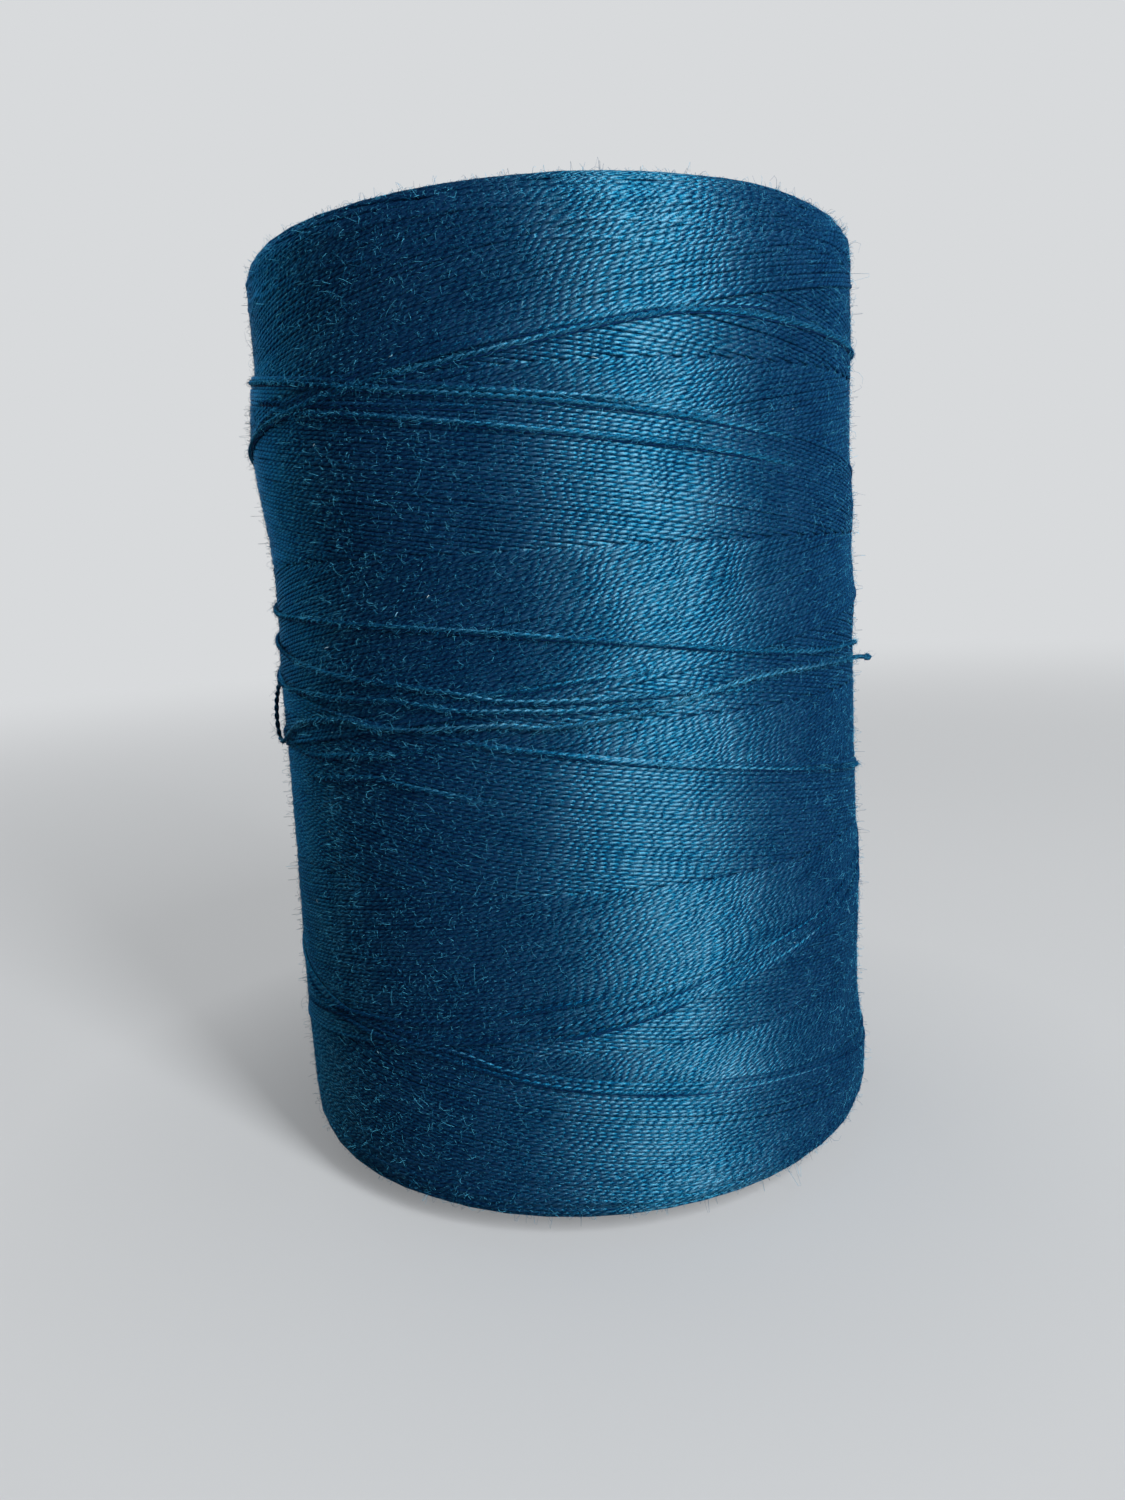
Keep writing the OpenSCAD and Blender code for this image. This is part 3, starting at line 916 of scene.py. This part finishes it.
# The loose cords' dye and gloss are lighter than the wound thread's: painted light for cords that stand
# proud. The loose end's gloss is paler still, a painted highlight on its twist
LIT_LOOSE_DYE = colour(0, 84, 126)
FLECK = colour(30, 122, 160)
GLOSS_STOPS = [
    (0.0, colour(0, 44, 78)), (0.4, colour(8, 110, 144)), (0.75, colour(54, 136, 164)),
    (1.0, colour(94, 149, 171))]
LIT_LOOSE_STOPS = [(0.0, colour(0, 50, 84)), (0.5, colour(30, 128, 162)), (1.0, colour(110, 166, 190))]
LIT_END_STOPS = [(0.0, colour(0, 52, 84)), (0.5, colour(60, 150, 184)), (1.0, colour(150, 206, 226))]
GLOSS_EDGE = (0.1, 0.5, 0.9, 1.0)  # the gloss's tint at grazing angles
GLOSS_SHARE = 0.5

# %% The relief of two plies on one tube
WOUND_SWING = 0.062
WOUND_PLY_RADIUS = 0.138
THREAD_ROUND = 0.21


def ply_relief(along, turns_round):
    """Height in millimetres of the nearer ply over the round of the thread.

    With w = 2 pi along / lay, the plies' middles are at -offset sin w across and offset cos w up,
    and the other way round. A ply is sqrt(radius^2 - distance^2) high over its middle.
    """
    across = (turns_round * (2 * math.pi)).math("SINE") * HALF_WIDTH
    phase = along * (2 * math.pi / LAY)
    swing = phase.math("SINE") * WOUND_SWING
    lift = phase.math("COSINE") * WOUND_SWING
    plies = []
    for middle_across, middle_up in ((across + swing, lift), (across - swing, lift * -1)):
        left = (WOUND_PLY_RADIUS**2 - middle_across * middle_across).math("MAXIMUM", 0.0)
        plies.append(left.math("SQRT") + middle_up)
    return plies[0].math("MAXIMUM", plies[1]) - (THREAD_ROUND**2 - across * across).math("SQRT")


# %% The thread's shaders
FIBRES_ALONG, FIBRES_ROUND, FIBRES_SLANT, FIBRES_CHANGE = 1.4, 7, 1.1, 0.05
FIBRE_SCALE, DYE_SCALE, SPECK_SCALE = 2.0, 260.0, 7000.0
LAY_SHIFT = 2.4  # the twist is uneven: its phase moves with the dye's noise by up to this, in mm
RIDGE_GAIN, RIDGE_LEVEL = 12.0, 1.2
TUBE_GAIN, TUBE_LEVEL = 0.35, 0.5
RIDGE_LIGHT, FIBRE_LIGHT, DYE_LIGHT, SPECK_LIGHT, THREAD_LIGHT = 0.95, 1.5, 1.1, 1.1, 0.08
FLECK_FROM, FLECK_GAIN = 0.6, 6
TUBE_FIBRE_HEIGHT, FIBRE_HEIGHT, SPECK_HEIGHT = 0.03, 0.05, 0.04
GLOSS_ROUGHNESS, FIBRE_ROUGHNESS = 0.45, 0.15


def thread_finish(name, dye_crest, gloss_stops, one_tube=True):
    """Dyed spun thread: a matt shader for its dye and a metallic one for its gloss, half and half.

    light = painted ply shade + fibres + dye + specks + the thread's own shade, each times its share,
    and the noises less their mean of a half. The ply shade is painted: light on the plies' crests and
    dark in the grooves between them. The bump's height is the plies' relief and the fibres and specks
    on it, in millimetres.
    """
    finish = Finish(
        name, metallic=1.0, specular_tint=GLOSS_EDGE, anisotropic=0.75, anisotropic_rotation=0.25)
    lay = finish.node("ShaderNodeUVMap", {"uv_map": "lay"})
    along = finish.node("ShaderNodeSeparateXYZ", {}, {"Vector": lay})
    turns_round = along.other_output("Y")
    place = finish.place()
    fibre_place = finish.node("ShaderNodeCombineXYZ", {}, {
        "X": along * FIBRES_ALONG,
        "Y": turns_round * FIBRES_ROUND + along * FIBRES_SLANT,
        "Z": along * FIBRES_CHANGE})
    fibres = finish.noise(fibre_place, FIBRE_SCALE, detail=3.0)
    dye = finish.noise(place, DYE_SCALE, detail=4.0)
    specks = finish.noise(place, SPECK_SCALE, detail=1.0)
    if one_tube:
        relief = ply_relief(along + dye * LAY_SHIFT, turns_round)
        # Painted shade: lighter on the crests of the plies, darker in the groove between them
        painted_ply_shade = (relief * RIDGE_GAIN + RIDGE_LEVEL).math("MAXIMUM", 0.0)
    else:
        relief = fibres * TUBE_FIBRE_HEIGHT
        # Painted shade: each ply is darker on the side that faces the other ply
        phase = (turns_round + along * (1 / LAY)) * (2 * math.pi)
        painted_ply_shade = phase.math("COSINE") * TUBE_GAIN + TUBE_LEVEL
    light = painted_ply_shade * RIDGE_LIGHT + (fibres - 0.5) * FIBRE_LIGHT + (dye - 0.5) * DYE_LIGHT
    light = light + (specks - 0.5) * SPECK_LIGHT + finish.shade() * THREAD_LIGHT
    dyed = finish.mix(light, DYE_DARK_AND_GROOVE_SHADE, dye_crest)
    flecked = finish.mix((specks - FLECK_FROM) * FLECK_GAIN, dyed, FLECK)
    height = relief + fibres * FIBRE_HEIGHT + specks * SPECK_HEIGHT
    finish.feed("Base Color", finish.node("ShaderNodeValToRGB", {"stops": gloss_stops}, {"Fac": light}))
    finish.feed("Normal", finish.node("ShaderNodeBump", {}, {
        "Strength": 0.6, "Distance": MM, "Height": height}))
    finish.feed("Roughness", GLOSS_ROUGHNESS + FIBRE_ROUGHNESS * fibres)
    matt = finish.node("ShaderNodeBsdfPrincipled", {}, {
        "Base Color": flecked, "Roughness": 0.9, "Specular IOR Level": 0.1})
    finish.show(finish.node("ShaderNodeMixShader", {}, {0: GLOSS_SHARE, 1: matt, 2: finish.principled}))
    print(f"{name}: {len(finish.tree.nodes)} nodes")
    return finish.material


# %% Thread finishes on the pieces
wound_thread = thread_finish("wound_thread", DYE_CREST, GLOSS_STOPS)
for piece in (rising_turns, falling_turns, upper_arcs, lower_arcs):
    put_on(piece, wound_thread)
# The slack turns and the loose end have lighter colours than the wound thread: painted light
put_on(slack, thread_finish("plied_thread", LIT_LOOSE_DYE, LIT_LOOSE_STOPS, one_tube=False))
put_on(loose_end, thread_finish("end_thread", LIT_LOOSE_DYE, LIT_END_STOPS, one_tube=False))
put_on(sunk, thread_finish("sunk_thread", DYE_CREST, GLOSS_STOPS, one_tube=False))

# %% [markdown]
# ## The finishes of the thread underneath, the painted shadow lines, the fuzz and the lint
#
# The thread underneath is seen only in slits, so it needs rows and no relief: a sine of the way
# along the outline, one wave for each turn, between two dark blues, the darker of which is painted
# shade between the turns. A hair is too thin for any pattern, so its colour comes from one number,
# the one that each hair got when it was swept. The number is squared, which makes dark hairs common
# and pale ones rare. The shadow lines below the slack turns are painted shadow: thin cords whose
# two colours are the same.

# %% The thread underneath, fuzz and lint
# The darker row colour is painted shade between the turns of the thread underneath
INNER_PAINTED_SHADE, INNER_LIGHT = colour(0, 24, 48), colour(0, 56, 92)
# The one flat dark colour of the painted shadow lines below the slack turns
PAINTED_SHADOW = colour(0, 40, 78)
FUZZ_DARK, FUZZ_LIGHT = colour(0, 78, 118), colour(84, 186, 222)
LINT_DARK, LINT_LIGHT = colour(110, 186, 215), colour(220, 236, 240)


def row_finish():
    """Thread in rows: a sine of the way along the outline, one wave a turn, painted shade in its
    troughs.
    """
    finish = Finish("inner_thread", roughness=0.9, specular_ior_level=0.1)
    rows = (finish.shade() * (2 * math.pi / turn_pitch)).math("SINE") * 0.5 + 0.5
    finish.feed("Base Color", finish.mix(rows, INNER_PAINTED_SHADE, INNER_LIGHT))
    return finish.material


def hair_finish(name, dark, light, roughness):
    """Fibres, each with its own shade between two colours: the square of a number from 0 to 1."""
    finish = Finish(name, roughness=roughness, specular_ior_level=0.1)
    share = (finish.shade() * 0.5 + 0.5) ** 2
    finish.feed("Base Color", finish.mix(share, dark, light))
    return finish.material


put_on(inner_winding, row_finish())
# The painted shadow lines take one flat dark colour
gap_finish = hair_finish("gap", PAINTED_SHADOW, PAINTED_SHADOW, 0.9)
put_on(slack_gaps, gap_finish)
put_on(sunk_gaps, gap_finish)
fuzz_fibre = hair_finish("fuzz_fibre", FUZZ_DARK, FUZZ_LIGHT, 0.6)
for piece in fuzz:
    put_on(piece, fuzz_fibre)
put_on(lint, hair_finish("lint_fibre", LINT_DARK, LINT_LIGHT, 0.7))
print(f"{len(fuzz)} pieces of fuzz have their finish")

# %% [markdown]
# ## The core's finish
#
# The core is moulded in a pale plastic with a satin skin. A slow noise gives the faint waviness
# of the moulding in colour and gloss, and a fine one the grain that the mould leaves. A flat grey
# would look like paper. A CAD node keeps its mesh and has no UV map, so the noises read Object
# coordinates.

# %% Moulded plastic
PLASTIC_DARK, PLASTIC_LIGHT = colour(214, 212, 204), colour(238, 237, 231)
MOULD_SCALE, GRAIN_SCALE = 90.0, 2600.0
SATIN, GRAIN_ROUGHNESS, DRIFT_ROUGHNESS = 0.36, 0.12, 0.08
GRAIN_DEPTH = 0.00004


def plastic_finish():
    """Satin moulded plastic: faint colour drift, fine grain in bump and roughness."""
    finish = Finish("moulded_plastic", roughness=0.42, coat_weight=0.08, coat_roughness=0.25)
    place = finish.place()
    drift = finish.noise(place, MOULD_SCALE, detail=3.0)
    grain = finish.noise(place, GRAIN_SCALE, detail=2.0)
    finish.feed("Base Color", finish.mix(drift, PLASTIC_DARK, PLASTIC_LIGHT))
    finish.feed("Roughness", SATIN + GRAIN_ROUGHNESS * grain + DRIFT_ROUGHNESS * drift)
    finish.feed("Normal", finish.node("ShaderNodeBump", {}, {
        "Strength": 0.4, "Distance": GRAIN_DEPTH, "Height": grain}))
    return finish.material


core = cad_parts["core"]
put_on(core, plastic_finish())
print(f"core: {len(core.data.polygons)} faces in moulded plastic")

# %% [markdown]
# ## What the pieces ride on
#
# The spool has no moving parts, so every piece rides on its one body, the root.

# %% Every piece rides on the one body
riding = [rising_turns, falling_turns, upper_arcs, lower_arcs, inner_winding, slack, slack_gaps,
          sunk, sunk_gaps, lint, *fuzz]
for piece in riding:
    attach(piece, "root")
print(f"{len(riding)} pieces ride on the root, and the loose end with them")

# %% [markdown]
# ## Studio
#
# A plain pale floor runs into a round wall without an edge. A flat plane would end in a horizon,
# so the floor is a bowl: a profile turned round the axis. The camera and mirrored rays see it a
# little lighter than its paint, by an emission that only such rays meet, so it is pale without more
# light on the spool. Near the spool it glows less, which paints a darker floor round its foot and
# deepens its contact shadow: painted shade. Glossy rays that go to the front see a dark emission
# instead, a painted dark reflection like the gloss in a studio lit from one side.

# %% The floor's shape
FLAT_RADIUS, BEND_RADIUS = 700.0, 500.0
MIDDLE_RADIUS = 2
FLAT_RINGS, BEND_RINGS = 40, 24
FLOOR_STEPS = 96


def bowl(name):
    """A flat disc, a quarter circle up and a short wall, turned round the axis."""
    arc = np.linspace(0, np.pi / 2, BEND_RINGS)[1:]
    outer = FLAT_RADIUS + BEND_RADIUS
    flat = np.linspace(MIDDLE_RADIUS, FLAT_RADIUS, FLAT_RINGS)
    radius = np.concatenate([flat, FLAT_RADIUS + BEND_RADIUS * np.sin(arc), [outer]])
    height = np.concatenate([np.zeros(FLAT_RINGS), BEND_RADIUS * (1 - np.cos(arc)), [2 * BEND_RADIUS]])
    azimuth = np.arange(FLOOR_STEPS) * 360 / FLOOR_STEPS
    points = polar(azimuth[:, None], radius[None], height[None]).reshape(-1, 3)
    count = len(radius)
    i, j = (g.ravel() for g in np.meshgrid(np.arange(FLOOR_STEPS), np.arange(count - 1), indexing="ij"))
    k = (i + 1) % FLOOR_STEPS
    quads = np.stack([i * count + j, i * count + j + 1, k * count + j + 1, k * count + j], axis=-1)
    middle_face = (np.arange(FLOOR_STEPS) * count)[None]
    return make_piece(name, points, [quads, middle_face])


# %% The floor's finish
FLOOR_DARK, FLOOR_LIGHT = colour(192, 195, 198), colour(204, 207, 210)
# The second colour is a painted dark reflection, seen only in the gloss towards the front
FLOOR_GLOW, PAINTED_DARK_REFLECTION = colour(216, 218, 220), colour(6, 12, 16)
CLOUD_SCALE = 6.0
GLOW_FROM, GLOW_FULL = 0.15, 0.55  # metres from the axis
BEHIND_FROM, BEHIND_LENGTH = 0.15, 0.55
NEAR_GLOW = 0.58
CONTACT_FROM, CONTACT_LENGTH = 0.02, 0.04
CONTACT_GLOW = 0.4
FRONT_DIM = 0.95


def floor_finish():
    """Pale paint, a glow for rays that show it, and a painted dark reflection in front for glossy ones.

    The glow's share is seen * contact * (near + (1 - near) * (3 far^2 - 2 far^3)), where seen is 1
    for camera rays and behind the spool for mirrored ones, and contact and far grow with the
    distance from the axis. Contact, low near the spool, paints shade round its foot.
    """
    finish = Finish("pale_floor", roughness=0.95)
    place = finish.place()
    cloud = finish.noise(place, CLOUD_SCALE, detail=2.0)
    finish.feed("Base Color", finish.mix(cloud, FLOOR_DARK, FLOOR_LIGHT))
    glow = finish.node("ShaderNodeEmission", {}, {"Color": FLOOR_GLOW, "Strength": 1.0})
    dark = finish.node("ShaderNodeEmission", {}, {"Color": PAINTED_DARK_REFLECTION, "Strength": 1.0})
    camera_ray = finish.node("ShaderNodeLightPath", output="Is Camera Ray")
    mirrored = camera_ray.other_output("Is Glossy Ray") + camera_ray.other_output("Is Transmission Ray")
    behind = finish.node("ShaderNodeSeparateXYZ", {}, {"Vector": place}, output="Y")
    behind = behind.ramp(BEHIND_FROM, BEHIND_LENGTH)
    away = finish.node("ShaderNodeVectorMath", {"operation": "LENGTH"}, {0: place}, output="Value")
    far = away.ramp(GLOW_FROM, GLOW_FULL - GLOW_FROM)
    # Painted shade: the glow falls near the spool, so the floor darkens round its foot
    contact = away.ramp(CONTACT_FROM, CONTACT_LENGTH) * (1 - CONTACT_GLOW) + CONTACT_GLOW
    seen = (camera_ray + mirrored * behind).math("MINIMUM", 1.0)
    share = seen * contact * (NEAR_GLOW + (1 - NEAR_GLOW) * (far * far * (3 - 2 * far)))
    lit = finish.node("ShaderNodeMixShader", {}, {0: share, 1: finish.principled, 2: glow})
    # Painted dark reflection: glossy rays that go to the front see a dark emission
    dimmed = mirrored * (1 - behind) * FRONT_DIM
    finish.show(finish.node("ShaderNodeMixShader", {}, {0: dimmed, 1: lit, 2: dark}))
    return finish.material


floor = bowl("floor")
put_on(floor, floor_finish())

# %% [markdown]
# ## Lights
#
# The turns of thread are all nearly level, so they gather the gloss of one light into an upright
# band. A narrow, tall soft box at the front right puts that band right of the middle, and the left
# side falls off into the dark. A large weak one stands at the back left, so that the spool keeps
# its form from behind too, and the world adds a trace of sky. A sun or a plain lamp would make the
# band hard.

# %% Lights
def area_light(name, azimuth, elevation, distance, wide, high, watts):
    """A soft box at an azimuth and elevation, aimed at the middle of the package."""
    data = bpy.data.lights.new(name, "AREA")
    data.shape = "RECTANGLE"
    data.size, data.size_y, data.energy = wide, high, watts
    light = bpy.data.objects.new(name, data)
    scene.collection.objects.link(light)
    a, e = math.radians(azimuth), math.radians(elevation)
    away = Vector((math.sin(a) * math.cos(e), -math.cos(a) * math.cos(e), math.sin(e)))
    light.location = Vector((0, 0, middle * MM)) + away * distance
    light.rotation_mode = "QUATERNION"
    light.rotation_quaternion = away.to_track_quat("Z", "Y")
    print(f"{name} light: {watts} W from azimuth {azimuth} and elevation {elevation} degrees")


area_light("key", azimuth=36, elevation=26, distance=0.6, wide=0.12, high=0.6, watts=6.0)
area_light("fill", azimuth=-142, elevation=20, distance=0.8, wide=0.7, high=0.7, watts=1.6)

# %% The world
SKY = (0.8, 0.92, 1.0, 1)
SKY_STRENGTH = 0.01

world = bpy.data.worlds.new("world")
world.use_nodes = True
sky = world.node_tree.nodes["Background"]
sky.inputs["Color"].default_value = SKY
sky.inputs["Strength"].default_value = SKY_STRENGTH
scene.world = world
